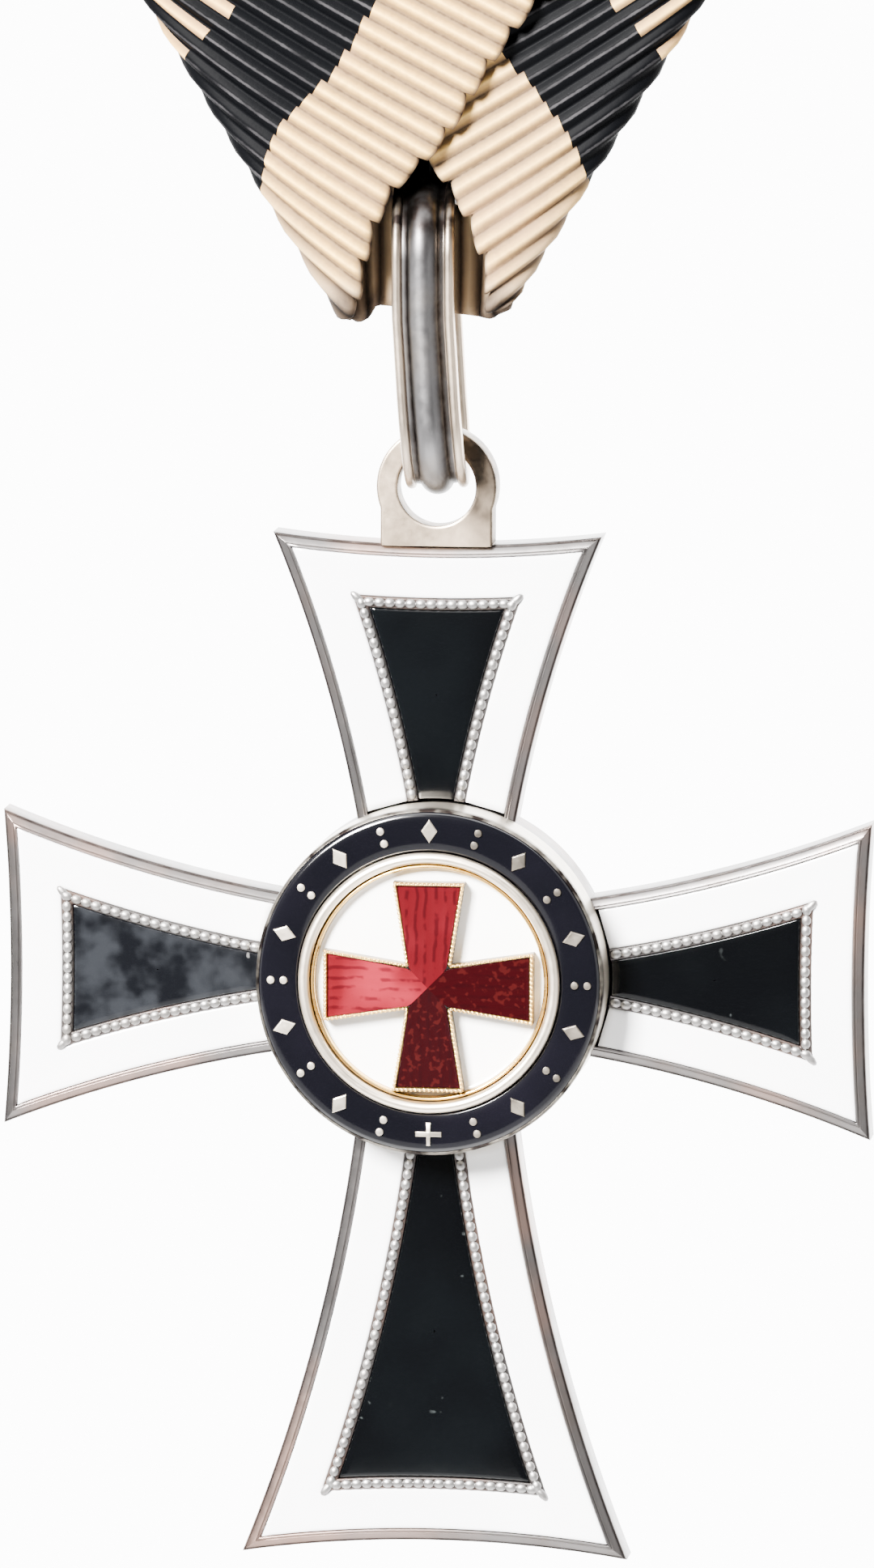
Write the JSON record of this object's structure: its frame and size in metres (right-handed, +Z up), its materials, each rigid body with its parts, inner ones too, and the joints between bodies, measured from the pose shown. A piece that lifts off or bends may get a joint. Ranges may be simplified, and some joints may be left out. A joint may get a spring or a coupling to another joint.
{
  "type": "order cross on a folded ribbon",
  "caption": "Enamelled silver order cross with a round medallion, hanging from a long ring on a striped, ribbed ribbon folded to a triangle.",
  "frame": {"origin": "on the wire of the ribbon's pin, in the middle, where the cloth of the wearer lies between wire and bar", "axes": "+Z up along the hanging cross, +X to the right as seen from the front, -Y out of the front"},
  "size_m": [0.0554, 0.007, 0.092],
  "materials": {
    "ribbon_cloth": "ribbed silk with black stripes",
    "pin_metal": "satin",
    "silver": "worn silver",
    "white_enamel": "opaque gloss",
    "black_enamel": "opaque gloss",
    "red_enamel": "translucent gloss",
    "gilt": "gilt"
  },
  "bodies": {
    "hanger": {"ribbon": "ribbon_cloth", "ribbon_pin": "pin_metal"},
    "ring": {"suspension_ring": "silver"},
    "cross": {"cross_body": "silver", "white_enamel_upper": "white_enamel", "white_enamel_right": "white_enamel", "white_enamel_lower": "white_enamel", "white_enamel_left": "white_enamel", "black_enamel_upper": "black_enamel", "black_enamel_right": "black_enamel", "black_enamel_lower": "black_enamel", "black_enamel_left": "black_enamel", "medallion": "silver", "medallion_black_ring": "black_enamel", "medallion_white_field": "white_enamel", "centre_cross": "gilt", "centre_cross_enamel": "red_enamel"}
  },
  "joints": [
    {"name": "ring_swing", "type": "hinge", "parent": "hanger", "child": "ring", "pos_m": [0, -0.00245, -0.0307], "axis": [0.9981, 0.0611, 0], "range_deg": [-30, 30]},
    {"name": "cross_rock", "type": "hinge", "parent": "ring", "child": "cross", "pos_m": [0.00032, -0.00245, -0.04046], "axis": [0, 1, 0], "range_deg": [-60, 60]}
  ]
}
